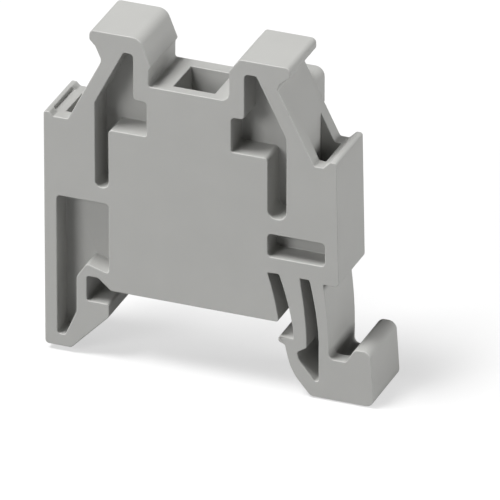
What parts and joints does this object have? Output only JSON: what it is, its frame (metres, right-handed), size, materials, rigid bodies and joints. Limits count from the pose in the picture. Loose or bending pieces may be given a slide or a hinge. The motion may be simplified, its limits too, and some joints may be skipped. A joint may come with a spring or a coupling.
{
  "type": "rail end stop",
  "caption": "Clip-on end stop for a narrow mounting rail: moulded body with a fixed claw, a spring foot, hooks for a marker and cored pockets.",
  "frame": {"origin": "on the seat that rests on the rail's flanges, on the rail's centre line, halfway through the part's thickness", "axes": "+X across the rail towards the spring foot, +Y along the rail towards the side with the small lug, +Z away from the rail"},
  "size_m": [0.0249, 0.0075, 0.0257],
  "materials": {
    "body": "fine matte moulded surface"
  },
  "bodies": {
    "root": {"end_stop": "body"}
  },
  "joints": []
}
